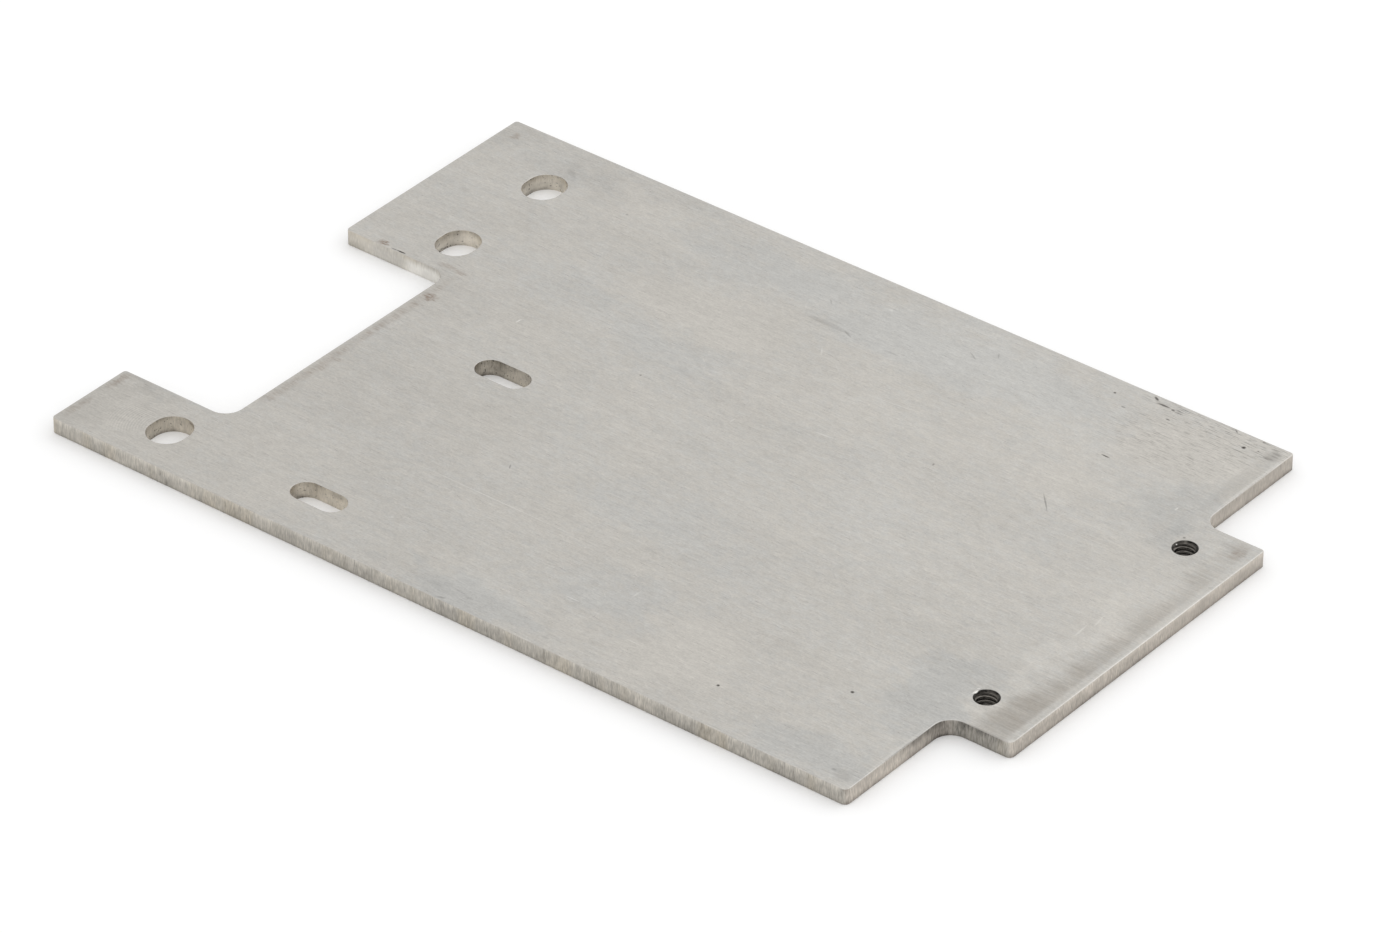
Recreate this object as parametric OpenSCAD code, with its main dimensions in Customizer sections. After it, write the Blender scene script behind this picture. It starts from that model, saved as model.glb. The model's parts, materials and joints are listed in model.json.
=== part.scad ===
// Diverter plate: one flat plate cut from stainless sheet, with a notched end and a stepped tongue.
// The plate lies flat. X runs along its length to the tongue, Y across its width, Z up from its lower face.

/* [Plate] */
// Thickness of the sheet
plate_t = 4.7625; // [3:0.0125:8]
// Length of the plate without its tongue
body_l = 254; // [200:0.5:320]
// Width across the two long edges
body_w = 184.15; // [165:0.05:230]

/* [Tongue] */
// How far the tongue stands out past the body
tongue_l = 19.05; // [12:0.05:40]
// Width of the tongue, centred on the plate
tongue_w = 104.775; // [70:0.025:140]

/* [End notch] */
// Depth of the notch between the two tabs
notch_d = 34.925; // [20:0.025:55]
// Width of the tab along the front edge
front_tab_w = 27.78; // [24:0.02:36]
// Width of the tab along the back edge
back_tab_w = 69.85; // [62:0.05:80]

/* [Corners and edges] */
// Radius in the inner corners of the notch and beside the tongue
inner_r = 5.08; // [2:0.02:8]
// Radius on the corners of the two tabs
tab_corner_r = 1; // [1:0.1:4]
// Radius on the corners of the body and the tongue
end_corner_r = 1.7; // [1:0.1:4]
// Width of the small bevel that breaks every outer edge
edge_break = 0.25; // [0.1:0.05:0.5]

/* [Tab holes] */
// Width of each tab hole, along X
tab_hole_w = 11; // [8:0.1:12]
// Length of each tab hole, along Y
tab_hole_l = 13; // [12.5:0.1:16]
// Tab ends to the centres of the tab holes
tab_hole_inset = 27.2; // [15:0.1:32]
// Front edge to the centre of the hole in the front tab
front_hole_edge = 14.3; // [10:0.1:15]
// Back edge to the centre of the outer hole in the back tab
back_hole_edge = 21.2; // [12:0.1:26]
// Side of the notch to the centre of the inner hole in the back tab
notch_hole_edge = 13.2; // [10:0.1:18]

/* [Slots] */
// Width of each slot, along Y
slot_w = 8.1; // [5:0.1:12]
// Length of each slot, along X
slot_l = 16.5; // [13:0.1:24]
// Tab ends to the centres of the slots
slot_inset = 76.1; // [70:0.1:120]
// Front edge to the centre line of the front slot
slot_edge = 15.2; // [10:0.1:30]
// Centre line to centre line of the two slots
slot_pitch = 71.7; // [40:0.1:120]

/* [Tapped holes] */
// Drilled diameter that the thread is cut in
tap_drill_d = 5.1; // [3:0.1:6]
// Diameter of the countersunk mouth on both faces
tap_mouth_d = 6.9; // [6.2:0.1:9]
// End of the tongue to the centres of the tapped holes
tap_end_gap = 16; // [8:0.1:30]
// Sides of the tongue to the centres of the tapped holes
tap_side_gap = 11.6; // [8:0.1:25]

/* [Hidden] */
$fn = 96;

// Steps of the outline along the length
tab_x = -(body_l + tongue_l) / 2;
notch_x = tab_x + notch_d;
body_x = tab_x + body_l;
tongue_x = body_x + tongue_l;

// Steps of the outline across the width
front_y = -body_w / 2;
back_y = body_w / 2;
notch_front_y = front_y + front_tab_w;
notch_back_y = back_y - back_tab_w;
tongue_y = tongue_w / 2;

// Centres of the holes
tab_hole_x = tab_x + tab_hole_inset;
tab_hole_ys = [front_y + front_hole_edge, notch_back_y + notch_hole_edge, back_y - back_hole_edge];
slot_x = tab_x + slot_inset;
slot_ys = [front_y + slot_edge, front_y + slot_edge + slot_pitch];
tap_x = tongue_x - tap_end_gap;
tap_y = tongue_y - tap_side_gap;

// Cutters run this far past the faces that they cut
overrun = 1;
bevel_overrun = edge_break / 2;
countersink_d = (tap_mouth_d - tap_drill_d) / 2;

// Corners of the outline, counter-clockwise: x, y and the radius there
corners = [
    [tab_x, front_y, tab_corner_r],
    [body_x, front_y, end_corner_r],
    [body_x, -tongue_y, inner_r],
    [tongue_x, -tongue_y, end_corner_r],
    [tongue_x, tongue_y, end_corner_r],
    [body_x, tongue_y, inner_r],
    [body_x, back_y, end_corner_r],
    [tab_x, back_y, tab_corner_r],
    [tab_x, notch_back_y, tab_corner_r],
    [notch_x, notch_back_y, inner_r],
    [notch_x, notch_front_y, inner_r],
    [tab_x, notch_front_y, tab_corner_r]
];
last = len(corners) - 1;

function corner(i) = corners[(i + len(corners)) % len(corners)];
function point(i) = [corner(i).x, corner(i).y];
function radius(i) = corner(i).z;
// The edge that leaves a corner: its direction and its heading in degrees
function along(i) = (point(i + 1) - point(i)) / norm(point(i + 1) - point(i));
function heading(i) = atan2(along(i).y, along(i).x);
// A corner is inner where the outline turns to the right
function is_inner(i) = cross(along(i - 1), along(i)) < 0;
// Centre of the arc that rounds a corner
function arc_centre(i) = point(i) + radius(i) * (along(i) - along(i - 1));

// The sliver between a sharp corner and the arc that rounds it
module corner_sliver(i) {
    difference() {
        translate((point(i) + arc_centre(i)) / 2) square(radius(i), center = true);
        translate(arc_centre(i)) circle(radius(i));
    }
}

// The plate seen from above, without its holes
module outline() {
    difference() {
        union() {
            polygon([for (i = [0 : last]) point(i)]);
            for (i = [0 : last]) if (is_inner(i)) corner_sliver(i);
        }
        for (i = [0 : last]) if (!is_inner(i)) corner_sliver(i);
    }
}

// What the bevel takes off the upper and lower edge, where x is the distance in from the edge
module bevel_section() {
    reach = edge_break + bevel_overrun;
    triangle = [[reach, bevel_overrun], [-bevel_overrun, bevel_overrun], [-bevel_overrun, -reach]];
    translate([0, plate_t]) polygon(triangle);
    mirror([0, 1]) polygon(triangle);
}

// Bevel along the straight edge that leaves a corner
module bevel_run(i) {
    start = point(i) + radius(i) * along(i);
    end = point(i + 1) - radius(i + 1) * along(i);
    translate(start)
        rotate([0, 0, heading(i)])
            rotate([90, 0, 90])
                linear_extrude(norm(end - start)) bevel_section();
}

// Bevel round the arc at a corner
module bevel_turn(i) {
    translate(arc_centre(i))
        rotate([0, 0, heading(i - 1) - (is_inner(i) ? 0 : 90)])
            rotate_extrude(angle = 90)
                translate([radius(i), 0])
                    mirror([is_inner(i) ? 0 : 1, 0]) bevel_section();
}

// A hole with round ends, right through the plate, with its length along X
module slotted_hole(width, length) {
    depth = plate_t + 2 * overrun;
    straight = length - width;
    translate([0, 0, -overrun]) {
        for (end = [-1, 1]) translate([end * straight / 2, 0, 0]) cylinder(depth, d = width);
        translate([-straight / 2, -width / 2, 0]) cube([straight, width, depth]);
    }
}

// A hole drilled for the thread, with a countersunk mouth on each face
module tapped_hole() {
    mouth_d = tap_mouth_d + 2 * overrun;
    cone_d = countersink_d + overrun;
    translate([0, 0, -overrun]) {
        cylinder(plate_t + 2 * overrun, d = tap_drill_d);
        cylinder(cone_d, d1 = mouth_d, d2 = tap_drill_d);
    }
    translate([0, 0, plate_t - countersink_d]) cylinder(cone_d, d1 = tap_drill_d, d2 = mouth_d);
}

module diverter_plate() {
    color([0.73, 0.72, 0.7])
        difference() {
            linear_extrude(plate_t) outline();
            for (i = [0 : last]) {
                bevel_run(i);
                bevel_turn(i);
            }
            for (y = tab_hole_ys)
                translate([tab_hole_x, y, 0]) rotate([0, 0, 90]) slotted_hole(tab_hole_w, tab_hole_l);
            for (y = slot_ys)
                translate([slot_x, y, 0]) slotted_hole(slot_w, slot_l);
            for (side = [-1, 1])
                translate([tap_x, side * tap_y, 0]) tapped_hole();
        }
}

diverter_plate();
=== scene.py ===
import json
import math
import bmesh
import bpy
from mathutils import Matrix, Vector


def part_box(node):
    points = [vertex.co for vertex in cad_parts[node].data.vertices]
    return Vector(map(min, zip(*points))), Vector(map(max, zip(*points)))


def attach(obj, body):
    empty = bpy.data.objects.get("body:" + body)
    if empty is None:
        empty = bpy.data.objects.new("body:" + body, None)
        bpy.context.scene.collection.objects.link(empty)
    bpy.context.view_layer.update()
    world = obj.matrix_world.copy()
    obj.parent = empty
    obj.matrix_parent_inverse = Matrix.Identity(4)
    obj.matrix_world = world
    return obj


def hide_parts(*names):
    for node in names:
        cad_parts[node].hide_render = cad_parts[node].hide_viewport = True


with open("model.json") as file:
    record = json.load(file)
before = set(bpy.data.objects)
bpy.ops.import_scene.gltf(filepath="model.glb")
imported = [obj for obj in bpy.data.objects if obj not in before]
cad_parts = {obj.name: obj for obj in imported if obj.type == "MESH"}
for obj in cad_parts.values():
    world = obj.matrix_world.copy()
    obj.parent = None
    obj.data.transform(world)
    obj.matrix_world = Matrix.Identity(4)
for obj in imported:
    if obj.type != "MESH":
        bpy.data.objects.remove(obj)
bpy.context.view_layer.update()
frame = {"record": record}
mm = 0.001
mounts = {m["name"]: m for m in frame["record"]["mounts"]}
low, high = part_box("diverter_plate")
print("frame loaded, plate box in mm:", [round(v / mm, 2) for v in high - low])


# one socket of a node tree; arithmetic on it adds Math nodes
class Field:
    def __init__(self, tree, socket):
        self.tree = tree
        self.socket = socket

    def math(self, operation, *operands):
        return self.tree.node("ShaderNodeMath", {"operation": operation}, dict(enumerate(operands)))

    def __add__(self, other):
        return self.math("ADD", self, other)

    def __sub__(self, other):
        return self.math("SUBTRACT", self, other)

    def __rsub__(self, other):
        return self.math("SUBTRACT", other, self)

    def __mul__(self, other):
        return self.math("MULTIPLY", self, other)

    def __truediv__(self, other):
        return self.math("DIVIDE", self, other)

    def __abs__(self):
        return self.math("ABSOLUTE", self)

    def atLeast(self, other):
        return self.math("MAXIMUM", self, other)

    def atMost(self, other):
        return self.math("MINIMUM", self, other)

    # this times an amount, added to a sum so far
    def onto(self, total, amount):
        return self.math("MULTIPLY_ADD", self, amount, total)

    __radd__ = __add__
    __rmul__ = __mul__


# a node tree for a material, a world or geometry; node() makes any node
# and links each item of a list to the same input
class Tree:
    def __init__(self, tree):
        self.tree = tree
        tree.nodes.clear()

    def node(self, kind, settings=None, inputs=None, output=0):
        made = self.tree.nodes.new(kind)
        for key, value in (settings or {}).items():
            setattr(made, key, value)
        for key, value in (inputs or {}).items():
            for item in value if isinstance(value, list) else [value]:
                if isinstance(item, Field):
                    self.tree.links.new(item.socket, made.inputs[key])
                else:
                    made.inputs[key].default_value = item
        return Field(self, made.outputs[output]) if len(made.outputs) else made


def addObject(name, data):
    made = bpy.data.objects.new(name, data)
    bpy.context.scene.collection.objects.link(made)
    return made


# Plate outline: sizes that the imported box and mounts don't give
plate = {
    "tongueLength": 19.05 * mm,
    "tongueWidth": 104.775 * mm,
    "notchDepth": 34.925 * mm,
    "frontTab": 27.78 * mm,
    "backTab": 69.85 * mm,
    "innerRadius": 5.08 * mm,
    "tabCorner": 1.0 * mm,
    "endCorner": 1.7 * mm,
    "backCorner": 0.9 * mm,  # the far corners are filed less
    "outerBreak": 0.28 * mm,  # rounding of the outer edges
    "holeBreak": 0.15 * mm,  # rounding of the hole rims
    "slotWidth": 8.1 * mm,
    "slotLength": 16.5 * mm,
    "runStep": 5.0 * mm,  # spacing of points along straight edges
    "arcStep": math.radians(6),
    "edgeSteps": 7,
    "wallSteps": 8,
    "weldGap": 0.001 * mm,
}
thickness = high.z - low.z
bodyX = high.x - plate["tongueLength"]
notchX = low.x + plate["notchDepth"]
notchFront = low.y + plate["frontTab"]
notchBack = high.y - plate["backTab"]
tongueY = plate["tongueWidth"] / 2


def arcPoints(centre, radius, start, sweep):
    steps = max(2, round(abs(sweep) / plate["arcStep"]))
    angles = [start + sweep * i / steps for i in range(steps + 1)]
    return [centre + radius * Vector((math.cos(a), math.sin(a))) for a in angles]


# closed loop through corners, each rounded to its own radius
def roundedLoop(corners):
    points = []
    count = len(corners)
    for i, (corner, radius) in enumerate(corners):
        arrive = (corner - corners[i - 1][0]).normalized()
        leave = (corners[(i + 1) % count][0] - corner).normalized()
        turn = arrive.x * leave.y - arrive.y * leave.x
        centre = corner + radius * (leave - arrive)
        start = math.atan2(-leave.y, -leave.x)
        points += arcPoints(centre, radius, start, math.copysign(math.pi / 2, turn))
    return fillRuns(points)


def fillRuns(points):
    filled = []
    for i, point in enumerate(points):
        after = points[(i + 1) % len(points)]
        steps = max(1, math.ceil((after - point).length / plate["runStep"]))
        filled += [point.lerp(after, k / steps) for k in range(steps)]
    return filled


# hole with round ends, turned the way that leaves the metal on its left
def slotLoop(centre, width, length, alongY):
    half = (length - width) / 2
    axis = Vector((0, 1)) if alongY else Vector((1, 0))
    turn = math.atan2(axis.y, axis.x)
    far = arcPoints(centre + half * axis, width / 2, turn + math.pi / 2, -math.pi)
    near = arcPoints(centre - half * axis, width / 2, turn - math.pi / 2, -math.pi)
    return far + near


def outlineLoop():
    tab, end = plate["tabCorner"], plate["endCorner"]
    back, inner = plate["backCorner"], plate["innerRadius"]
    steps = [
        (low.x, low.y, tab), (bodyX, low.y, end), (bodyX, -tongueY, inner),
        (high.x, -tongueY, end), (high.x, tongueY, back), (bodyX, tongueY, inner),
        (bodyX, high.y, back), (low.x, high.y, tab), (low.x, notchBack, tab),
        (notchX, notchBack, inner), (notchX, notchFront, inner), (low.x, notchFront, tab),
    ]
    return roundedLoop([(Vector((x, y)), radius) for x, y, radius in steps])


def holeLoops():
    loops = []
    wide = mounts["wide_tab_bolts"]
    outer = mounts["end_bolts"]
    halfWide = wide["dims"]["spacing_y_mm"] * mm / 2
    halfOuter = outer["dims"]["spacing_y_mm"] * mm / 2
    width = 2 * wide["dims"]["hole_r_mm"] * mm
    length = wide["dims"]["slot_length_mm"] * mm
    x, wideY, _ = wide["pos_m"]
    for y in (wideY - halfWide, wideY + halfWide, outer["pos_m"][1] - halfOuter):
        loops.append(slotLoop(Vector((x, y)), width, length, True))
    for name in ("front_slot", "back_slot"):
        x, y, _ = mounts[name]["pos_m"]
        loops.append(slotLoop(Vector((x, y)), plate["slotWidth"], plate["slotLength"], False))
    return loops


def geometryTree(name, inputs):
    group = bpy.data.node_groups.new(name, "GeometryNodeTree")
    group.is_modifier = True
    tree = Tree(group)
    group.interface.new_socket("Geometry", in_out="OUTPUT", socket_type="NodeSocketGeometry")
    group.interface.new_socket("Geometry", in_out="INPUT", socket_type="NodeSocketGeometry")
    for label, kind in inputs:
        group.interface.new_socket(label, in_out="INPUT", socket_type=kind)
    source = group.nodes.new("NodeGroupInput")
    return tree, {s.name: Field(tree, s) for s in source.outputs if s.name}


def finishTree(tree, geometry, material):
    real = tree.node("GeometryNodeRealizeInstances", inputs={"Geometry": geometry})
    painted = tree.node("GeometryNodeSetMaterial", inputs={"Geometry": real, "Material": material})
    tree.node("NodeGroupOutput", inputs={"Geometry": painted})
    return tree.tree


# runs a tree on an object, returns a plain mesh and removes the object
def meshFrom(source, group, values):
    modifier = source.modifiers.new("tree", "NODES")
    modifier.node_group = group
    sockets = {s.name: s.identifier for s in group.interface.items_tree if s.in_out == "INPUT"}
    for label, value in values.items():
        modifier[sockets[label]] = value
    depsgraph = bpy.context.evaluated_depsgraph_get()
    mesh = bpy.data.meshes.new_from_object(source.evaluated_get(depsgraph))
    bpy.data.objects.remove(source)
    return mesh


# the rounded edge and wall that follow one cut line
def edgeRimTree():
    tree, given = geometryTree("edgeRim", [
        ("Thickness", "NodeSocketFloat"), ("Edge break", "NodeSocketFloat"),
        ("Edge steps", "NodeSocketInt"), ("Wall steps", "NodeSocketInt"),
        ("Material", "NodeSocketMaterial"),
    ])
    thick, edge = given["Thickness"], given["Edge break"]

    def place(across, up):
        return tree.node("ShaderNodeCombineXYZ", inputs={"X": across, "Y": up})

    def quarter(start, across, up):
        arc = tree.node("GeometryNodeCurveArc", {"mode": "RADIUS"}, {
            "Resolution": given["Edge steps"], "Radius": edge,
            "Start Angle": start, "Sweep Angle": math.pi / 2})
        return tree.node("GeometryNodeTransform", inputs={"Geometry": arc, "Translation": place(across, up)})

    inset = edge * -1
    upper = quarter(0, inset, thick - edge)
    lower = quarter(-math.pi / 2, inset, edge)
    line = tree.node("GeometryNodeCurvePrimitiveLine", {"mode": "POINTS"}, {
        "Start": place(0, edge), "End": place(0, thick - edge)})
    wall = tree.node("GeometryNodeResampleCurve", inputs={"Curve": line, "Count": given["Wall steps"]})
    joined = tree.node("GeometryNodeJoinGeometry", inputs={"Geometry": [lower, wall, upper]})
    # a sweep hangs its section's Y downwards
    section = tree.node("GeometryNodeTransform", inputs={"Geometry": joined, "Scale": (1, -1, 1)})
    path = tree.node("GeometryNodeSetCurveNormal", {"mode": "Z_UP"}, {"Curve": given["Geometry"]})
    swept = tree.node("GeometryNodeCurveToMesh", inputs={"Curve": path, "Profile Curve": section})
    welded = tree.node("GeometryNodeMergeByDistance", inputs={
        "Geometry": swept, "Distance": plate["weldGap"]})
    smooth = tree.node("GeometryNodeSetShadeSmooth", inputs={"Geometry": welded, "Shade Smooth": True})
    return finishTree(tree, smooth, given["Material"])


def loopCurve(points):
    curve = bpy.data.curves.new("cutLine", "CURVE")
    curve.dimensions = "3D"
    spline = curve.splines.new("POLY")
    spline.points.add(len(points) - 1)
    for slot, point in zip(spline.points, points):
        slot.co = (point.x, point.y, 0, 1)
    spline.use_cyclic_u = True
    return addObject("cutLine", curve)


# Tapped holes: the drilled radius comes from the mounts
tap = {
    "pitch": 1.27 * mm,
    "majorRadius": 3.175 * mm,
    "mouthRadius": 3.45 * mm,
    "rootShare": 16,  # half the flat at the root is this part of the pitch
    "flankSlope": math.sqrt(3),  # flanks at 60 degrees to each other
    "sides": 96,
    "rings": 60,
}


# threaded wall of a tapped hole, one at each point, from face to face
def threadWallTree():
    tree, given = geometryTree("threadWall", [
        ("Depth", "NodeSocketFloat"), ("Pitch", "NodeSocketFloat"), ("Major radius", "NodeSocketFloat"),
        ("Minor radius", "NodeSocketFloat"), ("Mouth radius", "NodeSocketFloat"),
        ("Sides", "NodeSocketInt"), ("Rings", "NodeSocketInt"), ("Material", "NodeSocketMaterial"),
    ])
    depth, pitch = given["Depth"], given["Pitch"]
    tube = tree.node("GeometryNodeMeshCylinder", {"fill_type": "NONE"}, {
        "Vertices": given["Sides"], "Side Segments": given["Rings"], "Radius": 1.0, "Depth": depth})
    spot = tree.node("GeometryNodeInputPosition")
    x, y, z = [tree.node("ShaderNodeSeparateXYZ", inputs={"Vector": spot}, output=i) for i in range(3)]
    up = z + depth / 2
    turns = up / pitch - y.math("ARCTAN2", y, x) / (2 * math.pi)
    phase = turns.math("FRACT", turns)
    fromRoot = abs(phase - 0.5) * pitch
    flank = (fromRoot - pitch / tap["rootShare"]).atLeast(0) * tap["flankSlope"]
    thread = (given["Major radius"] - flank).atLeast(given["Minor radius"])
    mouth = (given["Mouth radius"] - up).atLeast(given["Mouth radius"] - (depth - up))
    radius = thread.atLeast(mouth)
    place = tree.node("ShaderNodeCombineXYZ", inputs={"X": x * radius, "Y": y * radius, "Z": up})
    cut = tree.node("GeometryNodeSetPosition", inputs={"Geometry": tube, "Position": place})
    inward = tree.node("GeometryNodeFlipFaces", inputs={"Mesh": cut})
    smooth = tree.node("GeometryNodeSetShadeSmooth", inputs={"Geometry": inward, "Shade Smooth": True})
    both = tree.node("GeometryNodeInstanceOnPoints", inputs={
        "Points": given["Geometry"], "Instance": smooth})
    return finishTree(tree, both, given["Material"])


def tapWalls(material):
    taps = [mounts[name] for name in ("front_tap", "back_tap")]
    spots = bpy.data.meshes.new("tapSpots")
    spots.from_pydata([(t["pos_m"][0], t["pos_m"][1], low.z) for t in taps], [], [])
    return meshFrom(addObject("tapSpots", spots), threadWallTree(), {
        "Depth": thickness, "Pitch": tap["pitch"], "Major radius": tap["majorRadius"],
        "Minor radius": taps[0]["dims"]["r_mm"] * mm, "Mouth radius": tap["mouthRadius"],
        "Sides": tap["sides"], "Rings": tap["rings"], "Material": material})


# closes the rims with a flat upper and lower face and makes the plate's object
def buildPlate(material):
    rimTree = edgeRimTree()
    rim = {
        "Thickness": thickness, "Edge steps": plate["edgeSteps"], "Wall steps": plate["wallSteps"],
        "Material": material,
    }
    loops = [(outlineLoop(), plate["outerBreak"])]
    loops += [(loop, plate["holeBreak"]) for loop in holeLoops()]
    solid = bmesh.new()
    for points, edgeBreak in loops:
        solid.from_mesh(meshFrom(loopCurve(points), rimTree, {**rim, "Edge break": edgeBreak}))
    solid.from_mesh(tapWalls(material))
    middle = (low.z + high.z) / 2
    for isUpper in (True, False):
        border = [e for e in solid.edges if e.is_boundary
                  and all((v.co.z > middle) == isUpper for v in e.verts)]
        filled = bmesh.ops.triangle_fill(solid, use_beauty=True, edges=border)
        for made in filled["geom"]:
            if isinstance(made, bmesh.types.BMFace):
                made.smooth = False
    bmesh.ops.recalc_face_normals(solid, faces=solid.faces)
    print("plate: faces", len(solid.faces), "open edges", sum(not e.is_manifold for e in solid.edges))
    mesh = bpy.data.meshes.new("plate")
    solid.to_mesh(mesh)
    solid.free()
    mesh.materials.clear()
    mesh.materials.append(material)
    return addObject("plate", mesh)


def srgb(red, green, blue):
    def linear(level):
        level = level / 255
        return level / 12.92 if level <= 0.04045 else ((level + 0.055) / 1.055) ** 2.4
    return (linear(red), linear(green), linear(blue), 1)


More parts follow.
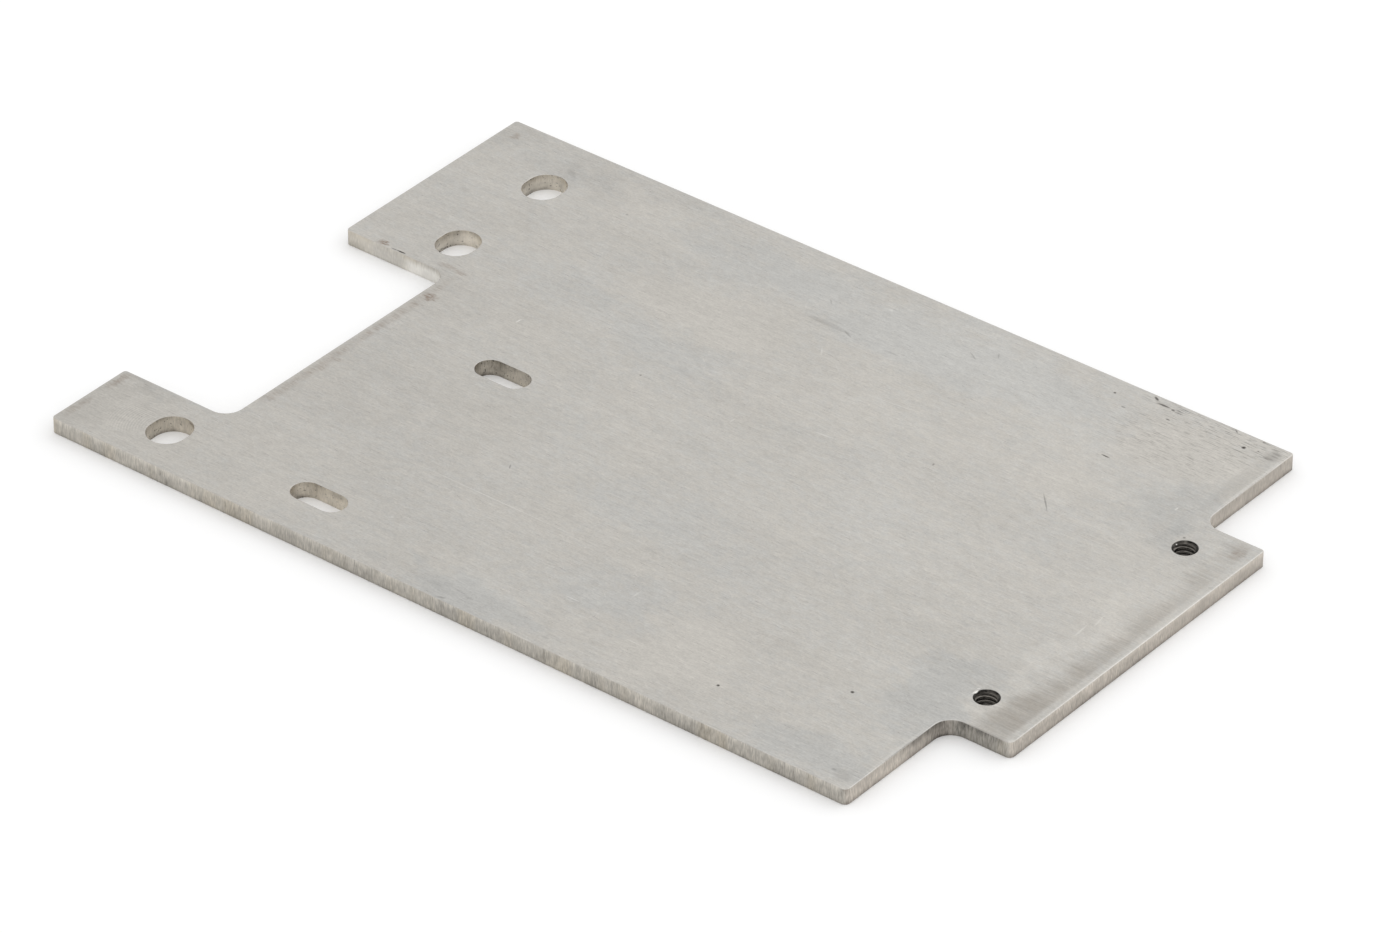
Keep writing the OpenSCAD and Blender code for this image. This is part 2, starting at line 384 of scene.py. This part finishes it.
# Brushed steel: colours as they read in even white light
# Marks lie in mm from the tab ends and from the front edge: x, y, half length, half width
steel = {
    "warm": srgb(197.7, 194, 187.3),
    "cool": srgb(195.8, 194.6, 190.8),
    "wall": srgb(180, 175.5, 167.5),
    "warmWall": srgb(181.5, 175, 163.5),
    "endWall": srgb(183.5, 176.5, 167.5),
    # pale wall colour: a painted reflection of the bright floor on the back tab's wall, and paler hole walls
    "paleWall": srgb(224, 221.5, 216),
    "hollow": srgb(205, 198, 186),  # walls of the holes
    "thread": srgb(149, 144, 137),
    "brown": srgb(122, 95, 72),
    "soot": srgb(110, 95, 77),
    "dark": srgb(62, 56, 51),
    "bright": srgb(232, 230, 225),
    # ovals round the holes, the one in the front tab first
    "bores": [
        (27.2, 14.3, 9, 10), (27.2, 127.5, 9, 10), (27.2, 163, 9, 10), (76.1, 15.2, 12, 8),
        (76.1, 86.9, 12, 8),
    ],
    "roughness": 0.36,
    "grainRoughness": 0.25,
    "wallRoughness": 0.10,
    "dirtRoughness": 0.15,
    "wetRoughness": 0.3,  # in the threads
    "bumpStrength": 0.5,
    "bumpDepth": 0.004 * mm,
    # painted shade in the tapped holes, deepest at the mouth, and a painted highlight on the crests
    "threadShade": 0.42,  # tone of the threads, less at the mouth and more on the crests
    "mouthShade": 0.28,
    "crestHighlight": 0.16,
    "oilMottle": 0.6,
    # the oil's wetness and the painted shade of the threads start and are full at these radii
    "oilAndShadeEdge": (3.5, 3.3),  # radii where the oil starts and is full
    "crestEdge": (3.1, 2.6),
    "grain": 0.28,  # depth of the brushed lines
    "speckle": 0.25,
    "mottle": 0.14,
    "cloud": 0.12,
    "hairs": 1.2,  # depth of the cut lines on the walls
    "scratch": 0.08,
    "grainFloor": -0.11,  # the grain darkens no more than this
    "ringDepth": 0.065,
    "ringTurns": 8.5,  # turn of the drill rings per mm, in radians
    "ringPatch": (16, 14, 8, 11),
    # painted light: the tone rises from the middle towards the tongue and the back edge
    "paintedLightLean": (0.035, 0.025),  # gain in tone from the middle to the tongue and to the back edge
    "middle": (136.5, 92),
    # broad patches, each with its share of tone and of cool tint
    "patches": [
        (160, 167, 70, 18, 0.02, 0.6), (95, 170, 30, 12, -0.045, 0.4), (32, 172, 18, 8, -0.09, 0.2),
        (102, 122, 26, 9, -0.035, 0.4), (95, 140, 34, 14, 0.03, -0.35), (60, 130, 26, 12, -0.02, 0.3),
        (233, 166, 24, 16, 0.02, -0.35), (248, 146, 16, 16, -0.085, 0.3),
        (253, 136, 6, 9, -0.09, 0.25), (247, 46, 16, 22, -0.085, 0.6),
        (218, 138, 18, 10, 0.015, -0.3), (187, 19, 18, 18, 0.035, -0.35), (132, 5, 30, 10, -0.06, 0.6),
        (240, 7, 22, 10, -0.075, 0.5), (3, 14, 8, 20, -0.045, -0.3), (14, 22, 14, 7, -0.04, -0.1),
        (20, 12, 26, 16, -0.01, -0.35),
        (8, 177, 9, 9, -0.06, 0.0), (65, 62, 36, 20, -0.012, -0.1), (150, 62, 38, 14, -0.015, 0.35),
        (190, 95, 44, 28, 0.015, 0.1), (67, 8, 10, 10, 0.03, -0.2), (160, 28, 24, 12, -0.02, 0.3),
        (261, 78, 6, 46, 0.07, 0.0), (30, 100, 30, 18, -0.02, -0.1), (130, 158, 20, 5, -0.03, 0.25),
        (40, 181, 50, 8, -0.05, 0.1), (9, 25.5, 10, 5, -0.09, 0.0), (231, 134, 14, 9, -0.05, 0.1),
        (260, 133, 7, 8, -0.07, 0.05),
    ],
    # small marks, each with its turn in degrees and its strength
    "darkMarksAndRimShade": [
        (212.4, 182.6, 1.3, 0.5, -30, 0.8), (215.6, 181.2, 2.6, 0.5, 2, 0.75),
        (218.7, 180.9, 0.7, 0.45, 0, 0.7),
        (220.2, 176.6, 0.9, 0.4, 0, 0.6), (202.5, 178.2, 0.5, 0.45, 0, 0.8),
        (208, 174.2, 0.9, 0.35, 0, 0.5),
        (242.5, 178.3, 0.75, 0.7, 0, 0.95), (250.6, 179.6, 3.2, 3.0, 0, 0.2),
        (250.2, 178.1, 2.2, 0.6, 0, 0.22), (250.8, 181, 1.9, 0.6, 0, 0.24),
        (251, 179.7, 1.4, 0.4, 0, 0.2), (246.4, 179.2, 0.4, 0.35, 0, 0.6),
        (217.7, 153.3, 1.7, 0.34, 0, 0.8), (236.8, 183.2, 1.1, 0.3, -35, 0.6),
        (245.2, 183.4, 0.5, 0.4, 0, 0.6),
        (254.3, 136.3, 0.5, 0.5, 0, 0.5), (230.6, 32.6, 0.65, 0.6, 0, 0.9),
        (203.7, 14.5, 0.55, 0.5, 0, 0.9),
        (249.5, 4.2, 3.6, 2.2, -25, 0.13), (246.4, 4.9, 0.8, 0.5, 0, 0.25),
        (186.4, 123.1, 0.7, 0.35, -70, 0.4),
        (218.3, 127.2, 4.9, 0.28, -47, 0.4), (104.5, 55.5, 1.2, 0.28, -60, 0.4),
        (126, 157.6, 9, 1.2, 0, 0.15),
        (133, 157.0, 2.2, 0.4, -25, 0.26), (147.5, 157, 3, 0.4, 0, 0.16),
        (164.3, 169, 2.4, 0.32, -30, 0.24),
        (169.3, 173.2, 1.6, 0.28, -60, 0.24), (120.2, 166.5, 1.4, 0.28, -45, 0.2),
        (103.7, 108.6, 0.4, 0.4, 0, 0.5),
        (133.5, 4.9, 1.6, 0.6, 0, 0.16), (158.5, 3.8, 1.4, 0.6, 0, 0.16), (128, 0.9, 1.6, 0.5, 20, 0.3),
        (52.7, 166, 0.6, 0.5, 0, 0.25), (18.5, 114.75, 1.9, 0.36, 0, 1.0),
        (16.2, 114.7, 1.3, 0.22, 0, 0.7), (28, 173, 3, 1.2, -30, 0.12),
        # painted shade: dark lines along the rims of the ear ends and of the tongue's front side
        (254.05, 22, 0.36, 14, 0, 0.5), (254.05, 166, 0.36, 19, 0, 0.3), (250.8, 166, 3.4, 18, 0, 0.13),
        (265, 39.7, 6.5, 0.4, 0, 0.25), (265, 43, 7, 2.6, 0, 0.06),
    ],
    "brownMarks": [
        (38.2, 102.7, 2.8, 2.2, 0, 0.45), (37.6, 97.9, 2.2, 1.2, 0, 0.3), (11.9, 115.5, 2.1, 1.5, 0, 0.5),
        (32.2, 117.2, 3.2, 1.2, 0, 0.22), (37, 116.8, 2.6, 1.4, 0, 0.25), (5, 177.6, 1.6, 2.0, 0, 0.25),
        (38.4, 65.2, 1.8, 1.2, 0, 0.2), (37.6, 60.3, 2.0, 3.0, 0, 0.18), (37.2, 41.2, 1.8, 1.4, 0, 0.2),
        (268.6, 139.5, 2.4, 4.5, 0, 0.2), (2.1, 23, 1.6, 5.5, 0, 0.24), (1.9, 8, 1.4, 7.0, 0, 0.17),
    ],
    # stretches of wall that are paler or darker, with what the top of the wall adds, some of them painted
    # light
    "wallPatchesAndPaintedLight": [
        # painted shade on the tongue's front side and on the fillet beside it
        (25, 0, 50, 8, 0.06, 0.05), (264, 39.7, 9, 5, -0.24, -0.39), (256, 37, 5, 8, -0.15, -0.12),
        # painted shade on the ear end beside the fillet; the tops of the ear ends darker
        (273, 100, 3, 60, 0.045, 0.036), (254, 31, 3, 12, -0.225, -0.18), (254, 18, 3, 24, 0.17, -0.28),
        (254, 166, 3, 20, 0.03, -0.23), (27.2, 127.5, 12, 12, 0.06, 0.0), (27.2, 163, 12, 12, 0.07, 0.0),
        (76.1, 15.2, 14, 12, 0.06, 0.0), (76.1, 86.9, 14, 12, -0.12, 0.0),
        # on this line the back tab's wall is made paler, a painted reflection of the bright floor
        (155, 0, 120, 6, -0.045, 0.035), (12, 114.3, 16, 6, 0.045, 0.0),
        # painted highlight on the tongue's front corner
        (272.6, 40.1, 0.8, 0.8, 0.13, 0.05),
        (253.4, 0.3, 1.7, 1.4, -0.14, -0.14),
    ],
    "grimePatches": [
        (230, 170, 32, 17, 0.75), (229, 183, 24, 4.5, 1.0), (244, 178, 14, 9, 0.5), (250, 180, 7, 5, 0.9),
    ],
    # stretches of wall painted pale: a painted reflection of the bright floor on the back tab's wall by the
    # notch, and paler walls in two holes
    "palePatches": [
        (14, 114.3, 18, 6, 0.37), (29, 114.3, 11, 8, 0.95), (27.2, 127.5, 12, 12, 0.3),
        (27.2, 163, 12, 12, 0.3),
    ],
    # light marks: bare nicks and scratches, and painted highlights near the end of the list
    "lightMarksAndHighlights": [
        (63.3, 108.6, 0.3, 1.3, -8, 0.7), (113, 41.9, 34, 0.26, 0.2, 0.28),
        (153.5, 20.7, 2.6, 0.3, 0, 0.45),
        (176, 15.7, 3.0, 0.28, 0, 0.3), (136, 21.6, 2.2, 0.28, 0, 0.3), (164.3, 32, 0.35, 2.2, 0, 0.3),
        (132.7, 146.5, 2.2, 0.35, -55, 0.35), (162, 138.7, 12, 0.28, 6, 0.25),
        (156.8, 116.3, 3.2, 0.4, 4, 0.3),
        (134.8, 107, 0.35, 1.5, 0, 0.3), (134.8, 173, 1.0, 0.7, 0, 0.3), (245.4, 145.5, 0.3, 0.9, 0, 0.6),
        (96, 19.9, 0.6, 0.5, 0, 0.3), (258.1, 88, 0.35, 3.4, 4, 0.4), (259.2, 94, 0.3, 3.0, 8, 0.3),
        # painted highlights: glints at the mouths of the tapped holes
        (253.55, 51.3, 0.4, 1.3, -8, 1.0), (253.4, 52.9, 0.55, 0.28, 38, 0.8),
        (254.25, 133.3, 0.32, 0.3, 0, 0.8),
        # painted highlights along the rims of the tongue end and the ear ends, and on the tongue's front
        # corner
        (272.7, 92, 0.6, 54, 0, 0.22), (253.4, 166, 0.5, 19, 0, 0.25), (253.3, 20, 0.5, 16, 0, 0.2),
        (272.4, 40.6, 0.9, 1.1, 0, 0.3),
    ],
}


def brushedSteel():
    material = bpy.data.materials.new("brushedSteel")
    material.use_nodes = True
    tree = Tree(material.node_tree)
    spot = tree.node("ShaderNodeTexCoord", output="Object")

    def vector(operation, *operands, output=0):
        return tree.node("ShaderNodeVectorMath", {"operation": operation}, dict(enumerate(operands)), output)

    def part(source, index):
        return tree.node("ShaderNodeSeparateXYZ", inputs={"Vector": source}, output=index)

    # places in mm from the tab ends, the front edge and the lower face
    surface = vector("MULTIPLY_ADD", spot, (1 / mm,) * 3, (-low.x / mm, -low.y / mm, -low.z / mm))
    along, across, up = [part(surface, i) for i in range(3)]
    normal = tree.node("ShaderNodeNewGeometry", output="Normal")
    facing = part(normal, 2)

    # noise stretched to a size in mm along, across and up, centred on zero
    def noise(seed, sizes, detail=2.0, source=None):
        shift = (31.7 * seed, -17.3 * seed, 7.9 * seed)
        where = vector("MULTIPLY_ADD", source or surface, tuple(1 / v for v in sizes), shift)
        made = tree.node("ShaderNodeTexNoise", inputs={"Vector": where, "Scale": 1.0, "Detail": detail})
        return made - 0.5

    # the same places moved by an amount along and across
    def moved(alongBy, acrossBy):
        shift = tree.node("ShaderNodeCombineXYZ", inputs={"X": alongBy, "Y": acrossBy})
        return vector("ADD", surface, shift)

    def smooth(value, start, end):
        return tree.node("ShaderNodeMapRange", {"interpolation_type": "SMOOTHSTEP"}, {
            "Value": value, "From Min": start, "From Max": end})

    def mixed(share, first, second):
        return tree.node("ShaderNodeMix", {"data_type": "RGBA"}, {0: share, 6: first, 7: second}, 2)

    def scaled(color, amount):
        return tree.node("ShaderNodeVectorMath", {"operation": "SCALE"}, {0: color, "Scale": amount})

    def turned(where, degrees, centre=(0, 0, 0)):
        return tree.node("ShaderNodeVectorRotate", {"rotation_type": "Z_AXIS"}, {
            "Vector": where, "Center": centre, "Angle": -math.radians(degrees)})

    # square of the distance from an oval's middle, 1 on its border
    def distance(where, mark):
        markX, markY, halfLength, halfWidth = mark
        shift = (-markX / halfLength, -markY / halfWidth, 0)
        local = vector("MULTIPLY_ADD", where, (1 / halfLength, 1 / halfWidth, 0), shift)
        return vector("DOT_PRODUCT", local, local, output="Value")

    # soft oval, 1 in its middle and 0 from its border on
    def oval(where, mark, turn=0.0):
        if turn:
            where = turned(where, turn, (mark[0], mark[1], 0))
        return smooth(distance(where, mark), 1, 0)

    # sum of many marks on the upper face, no more than 1
    def marked(marks, where):
        total = 0.0
        for *mark, turn, strength in marks:
            share = oval(where, mark, turn)
            total = share.onto(total, strength)
        return total.atMost(1) * upper

    upper = smooth(facing, 0.3, 0.8)
    face = smooth(facing, 0.1, 0.6).atLeast(smooth(facing, -0.9, -0.99))
    # places moved by noise, for patches, stains and fine marks
    wander = moved(34 * noise(1, (13, 9, 9), 4.0), 22 * noise(2, (13, 9, 9), 4.0))
    ragged = moved(4 * noise(10, (2, 1, 1), 3.0), 2.6 * noise(11, (2, 1, 1), 3.0))
    plain = moved(0.3 * noise(12, (0.5, 0.5, 0.5)), 0.3 * noise(13, (2, 2, 2)))

    # faces: grain along the length, mottling and broad clouds
    grain = noise(3, (5.0, 0.4, 1.0)) + 0.8 * noise(4, (1.8, 0.26, 1.0), 1.0)
    mottle = noise(5, (1.6, 1.1, 1.0)) + 0.7 * noise(14, (3.6, 3.0, 1.0), 1.0)
    cloud = noise(6, (30, 22, 34), 3.0) + 0.6 * noise(25, (70, 8, 30), 1.0)
    speckle = noise(19, (0.6, 0.5, 1.0), 1.0)
    tint = 0.32 + 0.9 * noise(7, (22, 16, 26), 4.0) + 1.3 * noise(15, (2.6, 1.6, 1.0), 3.0)
    # painted light: tone rising from the middle towards the tongue and the back edge
    paintedLightAlong, paintedLightAcross = steel["paintedLightLean"]
    middleX, middleY = steel["middle"]
    tone = 1 + (along / middleX - 1) * paintedLightAlong + (across / middleY - 1) * paintedLightAcross
    fine = steel["grain"] * grain + steel["speckle"] * speckle + steel["mottle"] * mottle
    tone = tone + fine.atLeast(steel["grainFloor"]) + steel["cloud"] * cloud
    # fine scratches across the grain
    scratch = smooth(noise(23, (8, 0.25, 1), 1.0, turned(surface, 24)), 0.14, 0.34)
    scratch = scratch + smooth(noise(24, (6, 0.25, 1), 1.0, turned(surface, -38)), 0.15, 0.34)
    tone = tone + steel["scratch"] * scratch
    # rings left by the drill beside the hole in the front tab
    holeX, holeY = steel["bores"][0][:2]
    fromHole = vector("MULTIPLY_ADD", surface, (1, 1, 0), (-holeX, -holeY, 0))
    ring = vector("LENGTH", fromHole, output="Value") * steel["ringTurns"]
    tone = tone + steel["ringDepth"] * ring.math("SINE", ring) * oval(surface, steel["ringPatch"]) * upper
    for *mark, lighter, cooler in steel["patches"]:
        share = oval(wander, mark) * upper
        tone = share.onto(tone, lighter)
        tint = share.onto(tint, cooler)
    faceColor = scaled(mixed(smooth(tint, 0, 1), steel["warm"], steel["cool"]), tone)

    # tongue: dark streaks that end short of the rim
    streak = noise(16, (9, 0.55, 1)) + noise(17, (20, 6, 1))
    early = smooth(across, 66, 52) + 0.3 * smooth(across, 116, 130)
    reach = smooth(along + 5 * streak + 4 * early, 263.5, 269) * smooth(along, 271.6, 270)
    width = smooth(across, 41, 46) * smooth(across, 144, 96)
    sooty = (0.09 + 0.14 * width + 0.1 * early + 0.34 * streak).atLeast(0)
    soot = reach * sooty * upper * smooth(across, 144, 140)
    faceColor = mixed(soot, faceColor, steel["soot"])
    # notch: a broken brown strip just in from its edge
    strip = smooth(abs(along - 37.2), 2.2, 0.2) * smooth(across, 36, 44) * smooth(across, 120, 100)
    rust = strip * (0.15 + 0.45 * noise(20, (5, 1.2, 1), 3.0)).atLeast(0) * upper
    fibre = smooth(noise(28, (2.2, 0.3, 1)), -0.18, 0.18)
    brown = marked(steel["brownMarks"], ragged).atLeast(rust) * (0.3 + 1.4 * fibre)
    faceColor = mixed(brown, faceColor, steel["brown"])
    # back corner: fine grime in the grain
    grime = 0.0
    for *mark, strength in steel["grimePatches"]:
        share = oval(wander, mark)
        grime = share.onto(grime, strength)
    speck = smooth(noise(26, (3.6, 0.32, 1), 3.0), 0.0, 0.26) * upper
    # dark specks and marks, with painted shade along the rims of the ear ends and the tongue's front side
    dark = marked(steel["darkMarksAndRimShade"], plain).atLeast(0.55 * speck * grime.atMost(1.2))
    faceColor = mixed(dark, faceColor, steel["dark"])

    # walls of the holes, darker towards the tab ends
    bore = 0.0
    shaded = 0.0
    for mark in steel["bores"]:
        share = smooth(distance(surface, mark), 1, 0.9)
        bore = share.atLeast(bore)
        shaded = (share * smooth(along, mark[0] - 1, mark[0] - 5)).atLeast(shaded)
    # cut walls: short hairs, a painted highlight as a frayed pale fringe under the upper rim, and painted
    # shade at the foot
    hair = noise(8, (0.27, 0.27, 1.8)) + 0.3 * noise(9, (1.4, 1.4, 6.0), 1.0)
    fray = up + 2.2 * noise(21, (0.4, 0.4, 6.0))
    foot = smooth(up, 1.1, 0.1)
    fringe = smooth(fray, 2.8, 4.6)
    endFacing = smooth(part(normal, 0), 0.3, 0.9)
    # pale stretches of wall: a painted reflection of the bright floor on the back tab's wall, and paler
    # walls in two holes
    paleShare = 0.0
    for *mark, strength in steel["palePatches"]:
        share = oval(surface, mark)
        paleShare = share.onto(paleShare, strength)
    paleShare = paleShare.atMost(1) * smooth(fray, 4.6, 2.4)
    calm = (1 - 0.65 * paleShare) * (1 - 0.5 * bore) * (1 - 0.5 * foot)
    calm = calm * (1 - 0.4 * smooth(across, 100, 112))
    wallTone = 1 + steel["hairs"] * hair * calm + 0.5 * noise(18, (7, 7, 4))
    # painted highlight under the upper rim, darker there on the hole walls, and painted shade at the foot
    wallTone = wallTone + (0.13 - 0.24 * bore) * fringe - 0.16 * foot * (1 - paleShare)
    # painted shade on the foot of the walls that face the tongue end
    wallTone = wallTone - 0.2 * endFacing * smooth(up, 1.7, 0.3)
    top = smooth(up, 2.4, 4.6)
    # wall patches, some of them painted shade, a painted highlight or a painted reflection
    for *mark, paler, palerTop in steel["wallPatchesAndPaintedLight"]:
        share = oval(surface, mark)
        change = paler + palerTop * top if palerTop else paler
        wallTone = share.onto(wallTone, change)
    pit = smooth(noise(22, (0.7, 0.7, 0.6), 1.0), 0.13, 0.24) * bore
    stain = noise(27, (3.2, 3.2, 2.5)) * bore
    wallTone = wallTone + 0.09 * bore + 0.7 * stain - 0.5 * pit - 0.2 * shaded
    band = smooth(noise(29, (6, 6, 40), 1.0), -0.05, 0.22)
    wallColor = mixed(endFacing, mixed(band, steel["wall"], steel["warmWall"]), steel["endWall"])
    wallColor = mixed(bore, wallColor, steel["hollow"])
    wallColor = scaled(mixed(paleShare, wallColor, steel["paleWall"]), wallTone)
    color = mixed(face, wallColor, faceColor)

    # threads: wet with cutting oil, with painted shade that darkens them, most at the mouth, and a painted
    # highlight on the crests
    wet = 0.0
    for name in ("front_tap", "back_tap"):
        tapX, tapY, _ = mounts[name]["pos_m"]
        shift = ((low.x - tapX) / mm, (low.y - tapY) / mm, 0)
        offset = vector("MULTIPLY_ADD", surface, (1, 1, 0), shift)
        radius = vector("LENGTH", offset, output="Value")
        inside = smooth(radius, *steel["oilAndShadeEdge"])
        crest = smooth(radius, *steel["crestEdge"])
        # painted shade inside the hole, darker at the mouth, and a painted highlight on the crests
        threadShading = steel["threadShade"] - steel["mouthShade"] * smooth(up, 3.6, 4.3)
        threadShading = threadShading + steel["crestHighlight"] * crest + steel["oilMottle"] * mottle
        color = mixed(inside, color, scaled(steel["thread"][:3], threadShading))
        wet = inside.atLeast(wet)
    # bare nicks and scratches, and painted highlights: glints at the mouths of the tapped holes and bright
    # rims along the tongue end, the ear ends and the tongue's front corner
    light = marked(steel["lightMarksAndHighlights"], plain) * smooth(up, 3.7, 4.1)
    color = mixed(light, color, steel["bright"])

    roughness = steel["roughness"] + steel["grainRoughness"] * grain + steel["wallRoughness"] * (1 - face)
    roughness = roughness + steel["dirtRoughness"] * (brown + dark + soot)
    roughness = roughness * (1 - wet) + steel["wetRoughness"] * wet
    height = tree.node("ShaderNodeMix", inputs={0: face, 2: hair * 4, 3: grain})
    bump = tree.node("ShaderNodeBump", inputs={
        "Height": height, "Strength": steel["bumpStrength"], "Distance": steel["bumpDepth"]})
    shader = tree.node("ShaderNodeBsdfPrincipled", inputs={
        "Base Color": color, "Metallic": 1.0, "Roughness": roughness, "Normal": bump})
    tree.node("ShaderNodeOutputMaterial", inputs={"Surface": shader})
    print("steel: nodes", len(material.node_tree.nodes))
    return material


# Camera: where the photograph was taken from
view = {
    "azimuth": 38.382,
    "elevation": 33.977,
    "roll": 0.347,
    "distance": 2.0463,
    "target": Vector((0.54 * mm, -1.0 * mm, 0)),
    "lens": 209.035,
    "sensor": 36,
    "farClip": 50,
}


def makeCamera():
    azimuth, elevation, roll = [math.radians(view[k]) for k in ("azimuth", "elevation", "roll")]
    level = math.cos(elevation)
    back = Vector((math.sin(azimuth) * level, -math.cos(azimuth) * level, math.sin(elevation)))
    right = Vector((math.cos(azimuth), math.sin(azimuth), 0))
    up = back.cross(right)
    tilted = math.cos(roll) * right + math.sin(roll) * up
    data = bpy.data.cameras.new("camera")
    data.sensor_width = view["sensor"]
    data.lens = view["lens"]
    data.clip_end = view["farClip"]
    camera = addObject("camera", data)
    camera.matrix_world = Matrix((tilted, back.cross(tilted), back)).transposed().to_4x4()
    camera.location = view["target"] + back * view["distance"]
    bpy.context.scene.camera = camera
    print("camera set")


# Stage: white floor and even white surroundings
stage = {
    "floorSize": 6.0,
    "floorColor": (1.0, 1.0, 1.0, 1),
    "floorGap": 0.02 * mm,  # keeps the floor clear of the lower face
    "floorReach": 0.1 * mm,  # hits nearer than this pass through, so that the lower face shows from below
    "skyLevel": 0.93,
    "boxFrom": Vector((0.36, 0.66, 0.66)),  # towards the wide soft box behind the plate, on its right
    "boxDistance": 2.5,
    "boxSize": (2.8, 2.2),
    "boxPower": 9.0,
    "keyFrom": Vector((0.289, -0.408, 0.866)),  # towards a weak lamp in front, which makes the threads glint
    "keyLevel": 0.15,
    "keySpread": math.radians(14),
}


def makeFloor():
    mesh = bpy.data.meshes.new("floor")
    half = stage["floorSize"] / 2
    level = low.z - stage["floorGap"]
    corners = [(-half, -half, level), (half, -half, level), (half, half, level), (-half, half, level)]
    mesh.from_pydata(corners, [], [(0, 1, 2, 3)])
    material = bpy.data.materials.new("whiteFloor")
    material.use_nodes = True
    tree = Tree(material.node_tree)
    matte = tree.node("ShaderNodeBsdfDiffuse", inputs={"Color": stage["floorColor"]})
    clear = tree.node("ShaderNodeBsdfTransparent")
    length = tree.node("ShaderNodeLightPath", output="Ray Length")
    below = tree.node("ShaderNodeNewGeometry", output="Backfacing")
    opened = below.atLeast(length.math("LESS_THAN", length, stage["floorReach"]))
    surface = tree.node("ShaderNodeMixShader", inputs={0: opened, 1: matte, 2: clear})
    tree.node("ShaderNodeOutputMaterial", inputs={"Surface": surface})
    mesh.materials.append(material)
    addObject("floor", mesh)


def makeSky():
    world = bpy.data.worlds.new("studio")
    world.use_nodes = True
    tree = Tree(world.node_tree)
    sky = tree.node("ShaderNodeBackground", inputs={"Color": (1, 1, 1, 1), "Strength": stage["skyLevel"]})
    tree.node("ShaderNodeOutputWorld", inputs={"Surface": sky})
    bpy.context.scene.world = world
    bpy.context.scene.view_settings.view_transform = "Standard"


def addLamp(name, kind, energy, towards):
    lamp = bpy.data.lights.new(name, kind)
    lamp.energy = energy
    holder = addObject(name, lamp)
    holder.rotation_euler = towards.to_track_quat("Z", "Y").to_euler()
    return holder


def makeLamps():
    softBox = addLamp("softBox", "AREA", stage["boxPower"], stage["boxFrom"])
    softBox.data.shape = "RECTANGLE"
    softBox.data.size, softBox.data.size_y = stage["boxSize"]
    softBox.location = stage["boxFrom"] * stage["boxDistance"]
    keyLamp = addLamp("keyLamp", "SUN", stage["keyLevel"], stage["keyFrom"])
    keyLamp.data.angle = stage["keySpread"]
    print("lamps set")


finish = brushedSteel()
piece = buildPlate(finish)
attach(piece, "root")
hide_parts("diverter_plate")
makeCamera()
makeFloor()
makeSky()
makeLamps()
